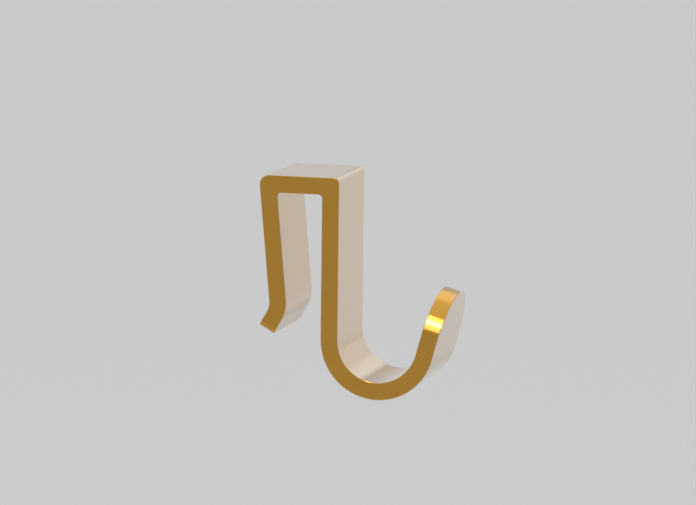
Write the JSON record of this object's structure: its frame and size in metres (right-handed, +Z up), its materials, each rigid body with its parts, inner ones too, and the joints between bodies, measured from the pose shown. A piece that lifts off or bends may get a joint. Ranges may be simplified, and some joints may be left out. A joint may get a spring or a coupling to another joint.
{
  "type": "towel hook",
  "caption": "Over-panel towel hook bent from wide flat strip: a square clip hangs on a panel's top edge and a round-tipped J holds the towel in front.",
  "frame": {"origin": "middle of the seat, the underside of the top bar, which rests on the panel's top edge", "axes": "+X across the panel from the back leg towards the J, +Y along the panel's top edge, +Z up"},
  "size_m": [0.0524, 0.0264, 0.0592],
  "materials": {
    "gold_plate": "polished, plated gold and clear lacquered"
  },
  "bodies": {
    "root": {"towel_hook": "gold_plate"}
  },
  "joints": []
}
